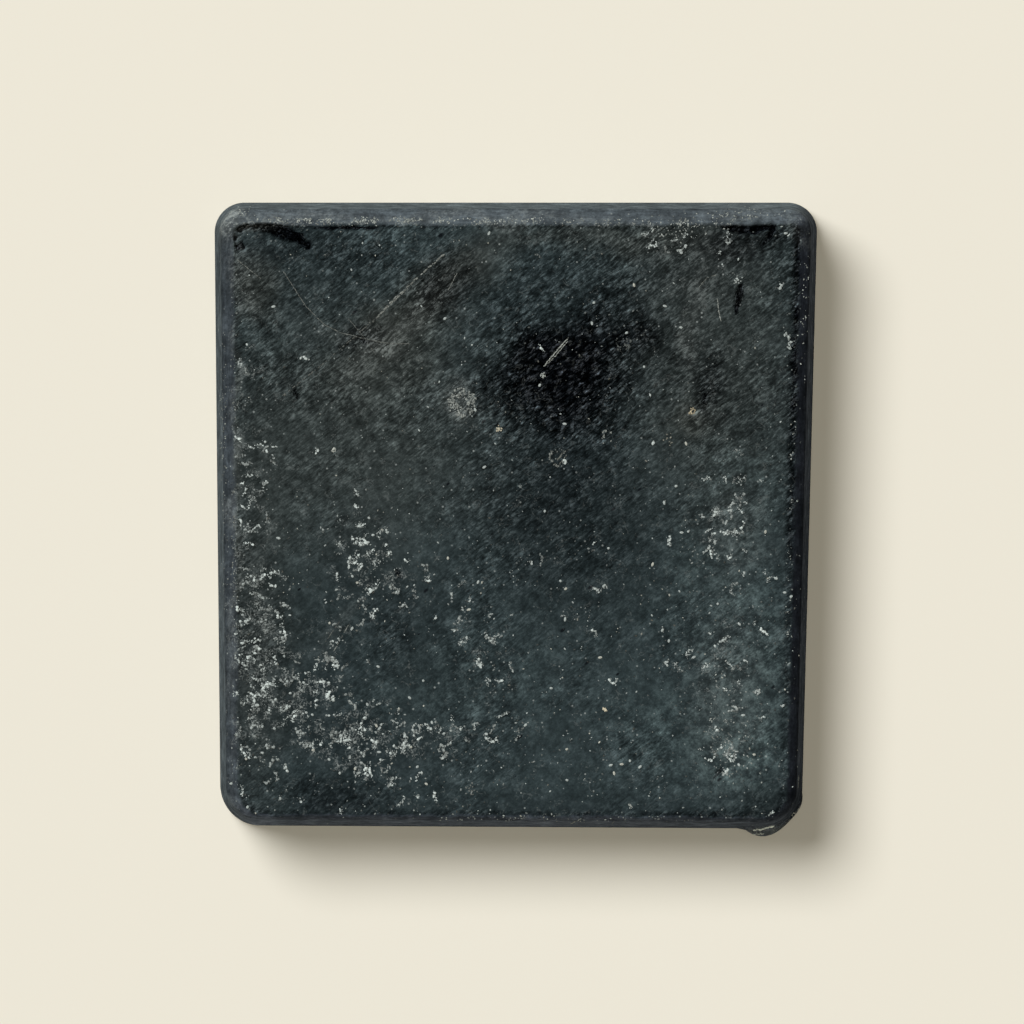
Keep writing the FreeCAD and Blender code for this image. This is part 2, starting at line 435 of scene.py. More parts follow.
level_edges = [edge for edge in grid.edges if not is_upright(edge)]
bmesh.ops.subdivide_edges(grid, edges=level_edges, cuts=COARSE_CELLS - 1, use_grid_fill=True)
upright_edges = [edge for edge in grid.edges if is_upright(edge)]
bmesh.ops.subdivide_edges(grid, edges=upright_edges, cuts=WALL_CELLS - 1, use_grid_fill=True)
seen_edges = [edge for edge in grid.edges if max(v.co.z for v in edge.verts) > -EDGE]
bmesh.ops.subdivide_edges(grid, edges=seen_edges, cuts=FINE_CUTS, use_grid_fill=True)

LAYERS = ("rim", "arris", "runs_across", "rim_pale", "soot_and_shade", "crumbs", "haze", "ochre", "coarse", "powder",
          "dark_tone_and_shade", "flash", "shaded_side")
for name in LAYERS:
    grid.verts.layers.float.new(name)
painted = {name: grid.verts.layers.float[name] for name in LAYERS}
for vert in grid.verts:
    u, v, w = vert.co
    edge_run = max(abs(u), abs(v)) > EDGE
    pale, soot_and_shade, flashed = WALL_PALENESS, 0.0, False
    if w > EDGE:
        place, outward, inset = plan_point(u, v, WALL_FLARE)
        width = bevel_width(outward, place)
        short = 1 - inset / width
        short = min((short + math.sqrt(short * short + ARRIS_SOFTNESS)) / 2, 1)
        drop = BEVEL_DROP * (STRAIGHT_BEVEL * short + ROUNDED_BEVEL * (1 - math.sqrt(1 - short * short)))
        from_arris = inset - width
        soot_and_shade = patch_strength(place, SOOT, 1)
        height = TOP - drop + (face_relief(place, from_arris, soot_and_shade) if from_arris > 0 else 0)
        # Gouges are painted darker the deeper they cut: painted shade in the recesses.
        soot_and_shade = max(soot_and_shade, min(gouge_depth(place) / 0.22, 1.3))
        ragged = from_arris + 0.1 * plan_noise(place, 14, 3.0)
        vert[painted["rim"]] = min(max(0.45 - ragged / 0.3, 0), 1)
        dusty = for_side(outward, ARRIS_DUST) * min(max(0.6 + 1.6 * plan_noise(place, 15, 0.4), 0), 1)
        vert[painted["arris"]] = dusty * math.exp(-(from_arris / ARRIS_DUST_WIDTH) ** 2)
        # A dark line just inside the arris: soot, and painted shade, strongest on the right side towards
        # the far corner.
        arris_soot_and_shade = for_side(outward, ARRIS_SOOT_AND_SHADE) * (0.8 + 0.5 * plan_noise(place, 16, 0.7))
        nearer = min(max((2 - place.y) / 8, 0), 1)
        arris_soot_and_shade *= 1 - 0.65 * max(outward.x, 0) * nearer
        arris_soot_and_shade_width = for_side(outward, ARRIS_SOOT_AND_SHADE_WIDTHS)
        soot_and_shade = max(soot_and_shade, arris_soot_and_shade * math.exp(-((from_arris - arris_soot_and_shade_width * 0.6) / arris_soot_and_shade_width) ** 2))
        pale = RIM_PALENESS
    elif w > -EDGE or edge_run:
        height, flare = wall_level((w + 1) / 2)
        place, outward, inset = plan_point(u, v, flare)
        plain = place
        place = with_flash(place, height)
        flashed = (place - plain).length > 0.02
        vert[painted["rim"]] = 1.0
    else:
        place, outward, inset = plan_point(u, v, BASE_ROUNDING)
        height = 0.0
        vert[painted["rim"]] = 0.5
    vert[painted["runs_across"]] = outward.y ** 2
    vert[painted["rim_pale"]] = for_side(outward, pale) * (FLASH_PALENESS if flashed else 1.0)
    settled = 1.0 if flashed else min(max((height - 5.5) / 3.5, 0.15), 1)   # less dust down the walls
    vert[painted["powder"]] = patch_strength(place, POWDER, 5) * settled
    vert[painted["soot_and_shade"]] = soot_and_shade
    vert[painted["crumbs"]] = patch_strength(place, CRUMBS, 2)
    vert[painted["haze"]] = patch_strength(place, HAZE, 3)
    vert[painted["ochre"]] = patch_strength(place, OCHRE, 4)
    # The rim colour turns bluer on the right and near sides, which face away from the lamp: a painted shade
    # tint.
    vert[painted["shaded_side"]] = max(outward.x, 0) ** 2 + max(-outward.y, 0) ** 2
    vert[painted["dark_tone_and_shade"]] = patch_strength(place, DARK_TONE_AND_SHADE, 6)
    vert[painted["flash"]] = 1.0 if flashed else 0.0
    vert[painted["coarse"]] = coarseness(place)
    vert.co = Vector((place.x, place.y, height)) * MM
bmesh.ops.recalc_face_normals(grid, faces=grid.faces)

tablet_mesh = bpy.data.meshes.new("tablet")
grid.to_mesh(tablet_mesh)
tablet_mesh.shade_smooth()
tablet = bpy.data.objects.new("tablet", tablet_mesh)
bpy.context.scene.collection.objects.link(tablet)
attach(tablet, "root")
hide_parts("charcoal_block")


def fill_inputs(tree, node, inputs):
    """Set a node's inputs, or link them where the value is another node's socket."""
    for name, value in inputs.items():
        if isinstance(value, bpy.types.NodeSocket):
            tree.links.new(value, node.inputs[name])
        else:
            node.inputs[name].default_value = value


def add_node(tree, kind, inputs, **options):
    """Add one shader node with these options and inputs."""
    made = tree.nodes.new("ShaderNode" + kind)
    for option, value in options.items():
        setattr(made, option, value)
    fill_inputs(tree, made, inputs)
    return made


def calculate(tree, operation, first, second=0.0, third=0.0):
    """The result of one maths node."""
    return add_node(tree, "Math", {0: first, 1: second, 2: third}, operation=operation).outputs[0]


def swung(tree, value, width):
    """A value from 0 to 1 turned into one that swings evenly round zero, this much in all."""
    return calculate(tree, "MULTIPLY_ADD", value, width, -width / 2)


def mixed(tree, amount, under, over):
    """The colour between under and over by this amount."""
    return add_node(tree, "Mix", {0: amount, 6: under, 7: over}, data_type="RGBA").outputs[2]


def chosen(tree, amount, low_value, high_value):
    """The value between two values by this amount."""
    return add_node(tree, "Mix", {0: amount, 2: low_value, 3: high_value}).outputs[0]


def tinted(tree, colour, tone):
    """The colour times a tone around 1."""
    return add_node(tree, "VectorMath", {0: colour, "Scale": tone}, operation="SCALE").outputs[0]


def ramped(tree, value, low_end, high_end):
    """A value eased from 0 at its low end to 1 at its high end."""
    inputs = {"Value": value, "From Min": low_end, "From Max": high_end}
    return add_node(tree, "MapRange", inputs, interpolation_type="SMOOTHSTEP").outputs[0]


def masked(tree, name):
    """A value painted on the mesh's points."""
    return add_node(tree, "Attribute", {}, attribute_name=name).outputs["Fac"]


def cloudy(tree, place, scale, detail, roughness=0.5):
    """Soft noise from 0 to 1."""
    inputs = {"Vector": place, "Scale": scale, "Detail": detail, "Roughness": roughness}
    return add_node(tree, "TexNoise", inputs).outputs[0]


def shifted(tree, place, shift, amount):
    """The place moved by a noise colour, this much in each direction."""
    inputs = {0: shift, 1: (amount,) * 3, 2: place}
    return add_node(tree, "VectorMath", inputs, operation="MULTIPLY_ADD").outputs[0]


def drawn_out(tree, place, turn, sizes):
    """The place in a frame turned along the strokes and stretched to these sizes."""
    inputs = {"Vector": place, "Rotation": turn, "Scale": sizes}
    return add_node(tree, "Mapping", inputs, vector_type="TEXTURE").outputs[0]


def scaled(tree, place, scales):
    """The place times a scale in each direction."""
    return add_node(tree, "Mapping", {"Vector": place, "Scale": scales}).outputs[0]


def new_group(name, inputs, outputs):
    """An empty node group: inputs are (name, kind, default), outputs are names of values."""
    group = bpy.data.node_groups.new(name, "ShaderNodeTree")
    for label, kind, default in inputs:
        socket = group.interface.new_socket(name=label, in_out="INPUT", socket_type="NodeSocket" + kind)
        if default is not None:
            socket.default_value = default
    for label in outputs:
        group.interface.new_socket(name=label, in_out="OUTPUT", socket_type="NodeSocketFloat")
    return group, group.nodes.new("NodeGroupInput").outputs, group.nodes.new("NodeGroupOutput").inputs


def place_group(tree, group, inputs):
    """One use of a group; returns its outputs."""
    placed = tree.nodes.new("ShaderNodeGroup")
    placed.node_tree = group
    fill_inputs(tree, placed, inputs)
    return placed.outputs


def millimetres(tree):
    """Object coordinates in millimetres."""
    return scaled(tree, add_node(tree, "TexCoord", {}).outputs["Object"], (1 / MM,) * 3)


# Grain of pressed powder: mottling from coarse to very fine, with strokes, flakes and fibres that
# all run one way. The gaps between flakes are painted dark, painted shade in the cracks, and the
# lighter flakes are partly painted glints. Sizes are in millimetres, the one along the strokes first.
STROKE_SIZES = (0.62, 0.27, 0.27)
FIBRE_SIZES = (0.65, 0.14, 0.14)
STROKE_WOBBLE = 0.8
FIBRE_WOBBLE = 0.3
MOTTLE_SWING = 6.8
STROKE_SWING = 1.8
FLAKE_RAGGEDNESS = 1.6
MOTTLE_RELIEF = 1.2
FIBRE_RELIEF = 0.35

grain_group, given, result = new_group(
    "pressed_grain",
    [("Position", "Vector", None), ("Turn", "Vector", (0, 0, 0)), ("Gaps", "Float", 0.3),
     ("Contrast", "Float", 1.0), ("Flakes", "Float", 0.3), ("Fibres", "Float", 0.3)],
    ["Tone", "Height", "Mottle"])
tree = grain_group
mottling = {"Vector": given["Position"], "Scale": 0.7, "Detail": 4.0, "Roughness": 0.88}
mottle, mottle_colour = add_node(tree, "TexNoise", mottling).outputs[:2]
wobble = shifted(tree, given["Position"], mottle_colour, STROKE_WOBBLE)
turned = drawn_out(tree, wobble, given["Turn"], STROKE_SIZES)
strokes = cloudy(tree, turned, 1.2, 1.6, 0.8)
flakes = add_node(tree, "TexVoronoi", {"Vector": turned, "Scale": 1.0}).outputs
flake_chance = add_node(tree, "SeparateColor", {0: flakes["Color"]}).outputs[0]
ragged = calculate(tree, "ADD", flakes["Distance"], swung(tree, mottle, FLAKE_RAGGEDNESS))
gap = calculate(tree, "MULTIPLY", ramped(tree, ragged, 0.42, 0.66), given["Gaps"])
fibre_bend = shifted(tree, given["Position"], mottle_colour, FIBRE_WOBBLE)
fibre_noise = cloudy(tree, drawn_out(tree, fibre_bend, given["Turn"], FIBRE_SIZES), 1.0, 1.5, 0.7)
fibres = calculate(tree, "MULTIPLY", calculate(tree, "SUBTRACT", fibre_noise, 0.5), given["Fibres"])
# Flakes lighter or darker at random: flake tone, with painted glints on the lighter ones.
flaking = calculate(tree, "MULTIPLY", calculate(tree, "SUBTRACT", flake_chance, 0.45), given["Flakes"])

total = calculate(tree, "ADD", swung(tree, strokes, STROKE_SWING), swung(tree, mottle, MOTTLE_SWING))
total = calculate(tree, "MULTIPLY", total, given["Contrast"])
total = calculate(tree, "ADD", total, fibres)
total = calculate(tree, "ADD", total, flaking)
# Darker in the gaps between flakes: painted shade in the cracks.
total = calculate(tree, "SUBTRACT", total, gap)
tree.links.new(calculate(tree, "EXPONENT", total), result["Tone"])
relief = calculate(tree, "SUBTRACT", strokes, gap)
relief = calculate(tree, "ADD", relief, calculate(tree, "MULTIPLY", mottle, MOTTLE_RELIEF))
relief = calculate(tree, "ADD", relief, calculate(tree, "MULTIPLY", fibres, FIBRE_RELIEF))
tree.links.new(relief, result["Height"])
tree.links.new(mottle, result["Mottle"])

# Curdled dust: short, broken, worm-like threads, kept to where Amount is high.
lace_group, given, result = new_group(
    "curdled_dust",
    [("Position", "Vector", None), ("Amount", "Float", 0.5), ("Size", "Float", 0.4),
     ("Thread", "Float", 0.05)],
    ["Mask"])
tree = lace_group
thread_inputs = {"Vector": given["Position"], "Scale": calculate(tree, "DIVIDE", 1.0, given["Size"]),
                 "Detail": 2.5, "Roughness": 0.6, "Distortion": 0.6}
thread_noise = add_node(tree, "TexNoise", thread_inputs).outputs[0]
off_middle = calculate(tree, "ABSOLUTE", calculate(tree, "SUBTRACT", thread_noise, 0.5))
thread = ramped(tree, calculate(tree, "DIVIDE", off_middle, given["Thread"]), 1.0, 0.35)
breaks = ramped(tree, cloudy(tree, given["Position"], 7.0, 1.0), 0.40, 0.58)
clumps = cloudy(tree, given["Position"], 0.8, 2.0, 0.6)
threshold = calculate(tree, "MULTIPLY_ADD", given["Amount"], -0.36, 0.72)
covered = ramped(tree, calculate(tree, "SUBTRACT", clumps, threshold), -0.03, 0.08)
mask = calculate(tree, "MULTIPLY", calculate(tree, "MULTIPLY", thread, covered), breaks)
tree.links.new(mask, result["Mask"])

# Specks: small round-edged dots in a random few cells; Mask is weaker on some of them.
speck_group, given, result = new_group(
    "specks",
    [("Position", "Vector", None), ("Spacing", "Float", 0.5), ("Radius", "Float", 0.16),
     ("Share", "Float", 0.15)],
    ["Mask"])
tree = speck_group
cell_inputs = {"Vector": given["Position"], "Scale": calculate(tree, "DIVIDE", 1.0, given["Spacing"])}
cells = add_node(tree, "TexVoronoi", cell_inputs).outputs
chance = add_node(tree, "SeparateColor", {0: cells["Color"]}).outputs
picked = calculate(tree, "LESS_THAN", chance[0], given["Share"])
radius = calculate(tree, "MULTIPLY", given["Radius"], calculate(tree, "MULTIPLY_ADD", chance[1], 1.3, 0.35))
dot = ramped(tree, calculate(tree, "DIVIDE", cells["Distance"], radius), 1.0, 0.4)
dot = calculate(tree, "MULTIPLY", dot, picked)
dot = calculate(tree, "MULTIPLY", dot, calculate(tree, "MULTIPLY_ADD", chance[2], 0.75, 0.25))
tree.links.new(dot, result["Mask"])

FACE_COLOUR = (0.0300, 0.0430, 0.0448, 1)
OCHRE_COLOUR = (0.0410, 0.0455, 0.0400, 1)
# Colour of soot, also used as painted shade in the gouges, in small pits and along the arris.
SOOT_AND_SHADE_COLOUR = (0.0054, 0.0068, 0.0085, 1)
HAZE_COLOUR = (0.075, 0.108, 0.106, 1)
RIM_DARK = (0.007, 0.0086, 0.012, 1)
RIM_PALE = (0.142, 0.172, 0.186, 1)
# Bluer rim colour for the sides away from the lamp: a painted shade tint.
RIM_SHADED_SIDE = (0.144, 0.168, 0.205, 1)
DUST_COLOUR = (0.36, 0.39, 0.365, 1)
STROKE_TURN = (0, 0, math.radians(STROKE_DEGREES))
OCHRE_STRENGTH = 0.85
DARKENING = 0.75
BLOTCH_SIZE = 2.0
RUN_SWING = 1.9
RIM_MOTTLE_SWING = 3.4
RIM_MOTTLE_RELIEF = 0.35
RELIEF_HEIGHT = 0.075 * MM
THREAD_STRENGTH = 0.1
LACE_STRENGTH = 0.3
SPECK_STRENGTH = 0.7
GLOSS = 0.2

tablet_look = bpy.data.materials.new("pressed_charcoal")
tablet_look.use_nodes = True
look = tablet_look.node_tree
shader = look.nodes["Principled BSDF"]
position = millimetres(look)
soot_and_shade = masked(look, "soot_and_shade")
rim = masked(look, "rim")
crumbs = masked(look, "crumbs")
coarse = masked(look, "coarse")
dark_tone_and_shade = masked(look, "dark_tone_and_shade")

# The face: its colour by patch, darker blotches and patches of darker tone, with painted shade near the
# near and right edges, then the grain. Coarse and sooty places have more.
gaps = calculate(look, "MULTIPLY_ADD", coarse, 0.2, calculate(look, "MULTIPLY", soot_and_shade, 1.35))
contrast = calculate(look, "MULTIPLY_ADD", coarse, 0.4, calculate(look, "MULTIPLY_ADD", soot_and_shade, 0.7, 0.36))
flaking = calculate(look, "MULTIPLY_ADD", coarse, 0.4, calculate(look, "MULTIPLY_ADD", soot_and_shade, 1.7, 0.1))
fibrous = calculate(look, "MULTIPLY_ADD", coarse, 4.0, calculate(look, "MULTIPLY_ADD", soot_and_shade, 4.4, 0.2))
grain = place_group(look, grain_group, {"Position": position, "Turn": STROKE_TURN, "Gaps": gaps,
                                        "Contrast": contrast, "Flakes": flaking, "Fibres": fibrous})
ochre = calculate(look, "MULTIPLY", masked(look, "ochre"), OCHRE_STRENGTH)
colour = mixed(look, ochre, FACE_COLOUR, OCHRE_COLOUR)
cloud = ramped(look, grain["Mottle"], 0.36, 0.68)
colour = mixed(look, calculate(look, "MULTIPLY", masked(look, "haze"), cloud), colour, HAZE_COLOUR)
blotches = ramped(look, cloudy(look, position, 1 / BLOTCH_SIZE, 3.0, 0.65), 0.5, 0.64)
blotches = calculate(look, "MULTIPLY", blotches, calculate(look, "MULTIPLY_ADD", coarse, 0.26, 0.08))
darkened = calculate(look, "MAXIMUM", blotches, dark_tone_and_shade)
darkened = calculate(look, "MAXIMUM", darkened, calculate(look, "MULTIPLY", crumbs, 0.5))
colour = tinted(look, colour, calculate(look, "MULTIPLY_ADD", darkened, -DARKENING, 1.0))
# Black where the soot mask is high: loose charcoal, and painted shade in the gouges and along the arris.
colour = mixed(look, calculate(look, "MINIMUM", soot_and_shade, 1.0), colour, SOOT_AND_SHADE_COLOUR)
colour = tinted(look, colour, grain["Tone"])
turned = drawn_out(look, position, STROKE_TURN, (1.0, 0.5, 0.5))
# Pits: sparse small black dots, painted shade of tiny pits in the face.
pits = place_group(look, speck_group, {"Position": turned, "Spacing": 1.3, "Radius": 0.17, "Share": 0.1})
colour = mixed(look, pits["Mask"], colour, SOOT_AND_SHADE_COLOUR)

# The bevel and walls: streaks along each side, and rings round the middle of the flash.
runs_in_x = cloudy(look, scaled(look, position, (0.5, 4.5, 1.0)), 1.0, 3.5, 0.8)
runs_in_y = cloudy(look, scaled(look, position, (4.5, 0.5, 1.0)), 1.0, 3.5, 0.8)
rim_tone = chosen(look, masked(look, "runs_across"), runs_in_y, runs_in_x)
flash_middle = (FLASH_CENTRE.x, FLASH_CENTRE.y, 0)
from_middle = add_node(look, "VectorMath", {0: position, 1: flash_middle}, operation="SUBTRACT").outputs[0]
in_plan = add_node(look, "VectorMath", {0: from_middle, 1: (1, 1, 0)}, operation="MULTIPLY").outputs[0]
reach = add_node(look, "VectorMath", {0: in_plan}, operation="LENGTH").outputs["Value"]
layer_inputs = {"W": calculate(look, "MULTIPLY_ADD", grain["Mottle"], 1.1, reach), "Scale": 6.0,
                "Detail": 3.0, "Roughness": 0.75}
layered = add_node(look, "TexNoise", layer_inputs, noise_dimensions="1D").outputs[0]
layered = calculate(look, "MULTIPLY_ADD", layered, 4.2, -1.6)
rim_tone = swung(look, chosen(look, masked(look, "flash"), rim_tone, layered), RUN_SWING)
rim_tone = calculate(look, "ADD", rim_tone, swung(look, grain["Mottle"], RIM_MOTTLE_SWING))
# The rim is darker under the same patches: painted shade along the near and right edges and at the near
# right corner.
rim_tone = calculate(look, "MULTIPLY_ADD", dark_tone_and_shade, -1.0, rim_tone)
# Bluer on the right and near sides, away from the lamp: a painted shade tint.
rim_colour = mixed(look, masked(look, "shaded_side"), RIM_PALE, RIM_SHADED_SIDE)
rim_colour = mixed(look, masked(look, "rim_pale"), RIM_DARK, rim_colour)
rim_colour = tinted(look, rim_colour, calculate(look, "EXPONENT", rim_tone))
colour = mixed(look, rim, colour, rim_colour)

# Dust in the surface: a film of powder, long fine threads, curdled threads and specks.
film = calculate(look, "MULTIPLY_ADD", ramped(look, grain["Tone"], 0.6, 1.8), 0.6, 0.12)
colour = mixed(look, calculate(look, "MULTIPLY", masked(look, "powder"), film), colour, DUST_COLOUR)
off_rim = calculate(look, "SUBTRACT", 1.0, rim)
threads = place_group(look, lace_group, {"Position": position, "Amount": 0.6, "Size": 1.5, "Thread": 0.022})
threads = calculate(look, "MULTIPLY", threads["Mask"], off_rim)
colour = mixed(look, calculate(look, "MULTIPLY", threads, THREAD_STRENGTH), colour, DUST_COLOUR)
lace_amount = calculate(look, "MAXIMUM", calculate(look, "MULTIPLY", crumbs, 0.75), masked(look, "arris"))
lace = place_group(look, lace_group, {"Position": position, "Amount": lace_amount, "Size": 0.34,
                                      "Thread": 0.075})
specks = place_group(look, speck_group, {"Position": position, "Spacing": 0.34, "Radius": 0.2,
                                         "Share": calculate(look, "MULTIPLY_ADD", crumbs, 0.3, 0.16)})
dust = calculate(look, "MAXIMUM", calculate(look, "MULTIPLY", lace["Mask"], LACE_STRENGTH),
                 calculate(look, "MULTIPLY", specks["Mask"], SPECK_STRENGTH))
look.links.new(mixed(look, dust, colour, DUST_COLOUR), shader.inputs["Base Color"])

# Where the face has been rubbed it shines a little; the rim is dull.
shader.inputs["Specular IOR Level"].default_value = 0.0
shader.inputs["Coat Roughness"].default_value = 0.5
rubbed = calculate(look, "MULTIPLY", ramped(look, grain["Tone"], 0.8, 2.2), off_rim)
look.links.new(calculate(look, "MULTIPLY", rubbed, GLOSS), shader.inputs["Coat Weight"])
look.links.new(calculate(look, "MULTIPLY_ADD", rubbed, -0.25, 0.9), shader.inputs["Roughness"])
relief = calculate(look, "MULTIPLY_ADD", coarse, 0.6, calculate(look, "MULTIPLY_ADD", soot_and_shade, 0.8, 0.3))
relief = calculate(look, "MULTIPLY", grain["Height"], relief)
rim_relief = calculate(look, "MULTIPLY", grain["Mottle"], RIM_MOTTLE_RELIEF)
bump_inputs = {"Height": chosen(look, rim, relief, rim_relief), "Distance": RELIEF_HEIGHT, "Strength": 1.0}
look.links.new(add_node(look, "Bump", bump_inputs).outputs[0], shader.inputs["Normal"])
tablet_mesh.materials.append(tablet_look)

# ---------------------------------------------------------------------------------------------
# Crumb chains: pale filler rubbed out of the charcoal, lying loose on the face in short curled
# chains. Like all the dust, they are small flattened grains, each resting on the tablet below it.
# ---------------------------------------------------------------------------------------------
GRAIN_FLATNESS = 0.55
GRAIN_LIFT = 0.2             # share of its radius by which a grain's middle stands off the tablet
LOWEST_GRAIN = 0.2           # share of the tablet's height below which dust falls off
BATCH_FACES = 1200           # grains are made in small batches, which keeps each one quick to add
surface = BVHTree.FromBMesh(grid)
dice = random.Random(11)


def start_dust():
    """An empty mesh in progress whose points carry a tone and a warmth."""
    started = bmesh.new()
    started.verts.layers.float.new("tone")
    started.verts.layers.float.new("warmth")
    return started


batch = start_dust()
gathered = start_dust()


def gather_batch():
    """Move the newest grains into the piece in progress."""
    scrap = bpy.data.meshes.new("scrap")
    batch.to_mesh(scrap)
    gathered.from_mesh(scrap)
    bpy.data.meshes.remove(scrap)
    bmesh.ops.delete(batch, geom=batch.verts, context="VERTS")


def add_grain(x, y, radius, stretch=1.0, turn=0.0, tone=1.0, warmth=0.0):
    """One flattened grain resting on the tablet, sizes in millimetres."""
    hit = surface.ray_cast(Vector((x * MM, y * MM, high.z + 1)), Vector((0, 0, -1)))[0]
    if hit is None or hit.z < high.z * LOWEST_GRAIN:
        return
    lift = Vector((0, 0, radius * GRAIN_LIFT * MM))
    matrix = Matrix.Translation(hit + lift) @ Matrix.Rotation(turn, 4, "Z")
    matrix = matrix @ Matrix.Diagonal((radius * stretch, radius, radius * GRAIN_FLATNESS, 1))
    tone_layer = batch.verts.layers.float["tone"]
    warmth_layer = batch.verts.layers.float["warmth"]
    for vert in bmesh.ops.create_icosphere(batch, subdivisions=1, radius=MM, matrix=matrix)["verts"]:
        vert[tone_layer] = tone
        vert[warmth_layer] = warmth
    if len(batch.faces) >= BATCH_FACES:
        gather_batch()


GRAIN_COLOUR = (0.33, 0.362, 0.336, 1)
WARM_GRAIN_COLOUR = (0.46, 0.40, 0.27, 1)
dust_look = bpy.data.materials.new("pale_dust")
dust_look.use_nodes = True
look = dust_look.node_tree
shader = look.nodes["Principled BSDF"]
colour = mixed(look, masked(look, "warmth"), GRAIN_COLOUR, WARM_GRAIN_COLOUR)
uneven = cloudy(look, millimetres(look), 9.0, 2.0)
tone = calculate(look, "MULTIPLY", masked(look, "tone"), calculate(look, "MULTIPLY_ADD", uneven, 1.2, 0.4))
look.links.new(tinted(look, colour, tone), shader.inputs["Base Color"])
shader.inputs["Roughness"].default_value = 0.9
shader.inputs["Specular IOR Level"].default_value = 0.0
bump_inputs = {"Height": uneven, "Distance": 0.02 * MM, "Strength": 1.0}
look.links.new(add_node(look, "Bump", bump_inputs).outputs[0], shader.inputs["Normal"])


def finish_dust(name):
    """Turn the grains gathered so far into one piece."""
    gather_batch()
    mesh = bpy.data.meshes.new(name)
    gathered.to_mesh(mesh)
    bmesh.ops.delete(gathered, geom=gathered.verts, context="VERTS")
    mesh.materials.append(dust_look)
    piece = bpy.data.objects.new(name, mesh)
    bpy.context.scene.collection.objects.link(piece)
    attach(piece, "root")


CHAIN_TRIES = 5900
CHAIN_SIZES = (0.04, 0.045, 0.05, 0.055, 0.07)
CHAIN_STEP = 1.05            # from one grain to the next, in radii
FACE_LEFT_EDGE = -22.2       # chains stop where the left bevel starts


def add_chain(x, y, grains, size, tone):
    """A curled chain of grains, a few grains wide, starting here."""
    heading = dice.uniform(0, math.tau)
    curl = dice.gauss(0, 0.08)
    spread = size * dice.uniform(0.5, 1.5)
    for _ in range(grains):
        add_grain(x + dice.gauss(0, spread), y + dice.gauss(0, spread), size * dice.uniform(0.5, 1.3),
                  dice.uniform(1, 1.7), dice.uniform(0, math.tau), tone * dice.uniform(0.35, 1.35))
        if dice.random() < 0.05:
            add_grain(x, y, dice.uniform(0.08, 0.12), dice.uniform(1, 1.5), heading, tone * 1.3)
        if dice.random() < 0.25:
            add_grain(x + dice.gauss(0, size * 4), y + dice.gauss(0, size * 4), 0.03, 1.3, heading,
                      tone * 0.6)
        heading += curl + dice.gauss(0, 0.5)
        x += math.cos(heading) * size * CHAIN_STEP
        y += math.sin(heading) * size * CHAIN_STEP
        if x < FACE_LEFT_EDGE:
            break


for _ in range(CHAIN_TRIES):
    x, y = dice.uniform(-22.4, 22.0), dice.uniform(-23.6, 23.2)
    place = Vector((x, y))
    clump = plan_noise(place, 21, 0.6) + 0.6 * plan_noise(place, 22, 1.5)
    clump = min(max((clump + 0.38) / 0.55, 0.36), 1)
    likely = (0.01 + patch_strength(place, CRUMBS, 2) ** 1.3) * clump
    if dice.random() < likely and gouge_depth(place) < 0.05:
        size = dice.choice(CHAIN_SIZES)
        add_chain(x, y, dice.randint(4, 24), size, dice.uniform(0.5, 1.5))

finish_dust("crumb_chains")

# ---------------------------------------------------------------------------------------------
# Lone grains: single specks of the same pale dust scattered over the whole face, more of them
# towards the near side, and a few of them larger.
# ---------------------------------------------------------------------------------------------
LONE_GRAINS = 2800
LONE_SIZES = (0.03, 0.035, 0.04, 0.05, 0.07)
BIG_GRAIN = 0.11
BIG_GRAIN_TONE = 1.2
for _ in range(LONE_GRAINS):
    x, y = dice.uniform(-22.6, 22.4), dice.uniform(-23.6, 23.5)
    likely = 0.35 + 0.65 * min(max((8 - y) / 14, 0), 1)
    likely *= 1 - patch_strength(Vector((x, y)), DARK_TONE_AND_SHADE, 6)
    if dice.random() < likely:
        big = dice.random() < 0.04
        size = BIG_GRAIN if big else dice.choice(LONE_SIZES)
        stretch, turn = dice.uniform(1, 1.9), dice.uniform(0, math.tau)
        tone = BIG_GRAIN_TONE if big else 0.15 + 1.3 * dice.random() ** 2.2
        add_grain(x, y, size, stretch, turn, tone, dice.choice((0, 0, 0, 0, 0.3)))

finish_dust("lone_grains")

# ---------------------------------------------------------------------------------------------
# Edge dust: the finest dust, caught along the bevels and the flash, and in one pale streak near
# the right. Each line of it has a start, an end, a scatter, a number of grains and a tone.
# ---------------------------------------------------------------------------------------------
EDGE_SIZES = (0.025, 0.035, 0.045, 0.06)
DUST_LINES = [
    ((-21.6, 23.5), (15.0, 23.55), 0.16, 420, 0.8),
    ((-9.0, 23.6), (2.0, 23.6), 0.12, 120, 1.0),
    ((11.0, 22.6), (16.5, 23.7), 0.5, 150, 0.9),
    ((-22.3, 15.0), (-22.2, -7.0), 0.14, 200, 0.6),
    ((-23.2, 15.0), (-23.0, -8.0), 0.16, 160, 0.6),
    ((22.8, 21.0), (22.6, 12.0), 0.2, 45, 1.0),
    ((22.9, 19.5), (22.8, 11.0), 0.16, 30, 1.0),
    ((21.9, 8.0), (21.4, -12.0), 0.12, 70, 0.9),
    ((-6.0, -23.6), (14.0, -23.7), 0.14, 110, 0.8),
    ((15.0, 23.9), (21.0, 24.2), 0.35, 150, 0.8),
    ((-22.2, 24.0), (-20.5, 24.5), 0.3, 60, 0.9),
    ((18.4, -24.75), (21.0, -24.4), 0.12, 20, 0.6),
    ((21.0, -24.4), (22.6, -22.9), 0.08, 12, 0.5),
    ((-19.5, 23.6), (-6.0, 23.6), 0.1, 320, 0.9),
    ((16.4, -12.0), (17.2, -19.6), 1.2, 260, 0.8),
]
